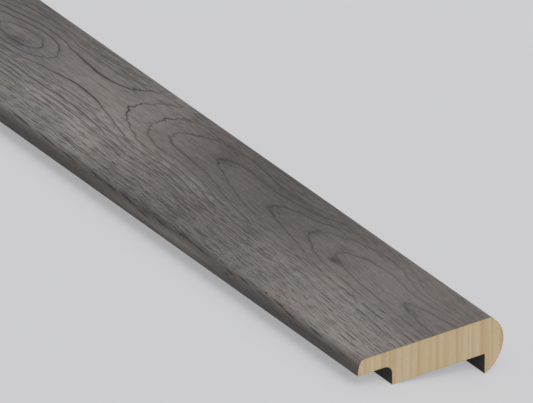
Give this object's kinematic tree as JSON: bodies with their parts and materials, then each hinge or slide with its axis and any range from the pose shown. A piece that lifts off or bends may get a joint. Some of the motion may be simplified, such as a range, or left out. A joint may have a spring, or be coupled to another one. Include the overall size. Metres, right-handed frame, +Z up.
{
  "type": "overlapping stair nosing",
  "caption": "Grey oak-look stair nosing stick with a rounded nose that hangs over the step, a flat seat and a thin rolled lip that laps over the edge of the floor covering.",
  "frame": {"origin": "centre of the bottom of the stick as it lies on a level floor, on its heel and the tip of its nose", "axes": "+X along the stick's length, +Y from the lip towards the nose, +Z up from the floor; the tread face leans 11.4 degrees, higher at the nose"},
  "size_m": [2.388, 0.054, 0.019],
  "materials": {
    "nosing": "grey oak decor film with a dull sheen over a pale wood core that shows at the cut ends, and a dark underside"
  },
  "bodies": {
    "root": {"nosing": "nosing"}
  },
  "joints": []
}
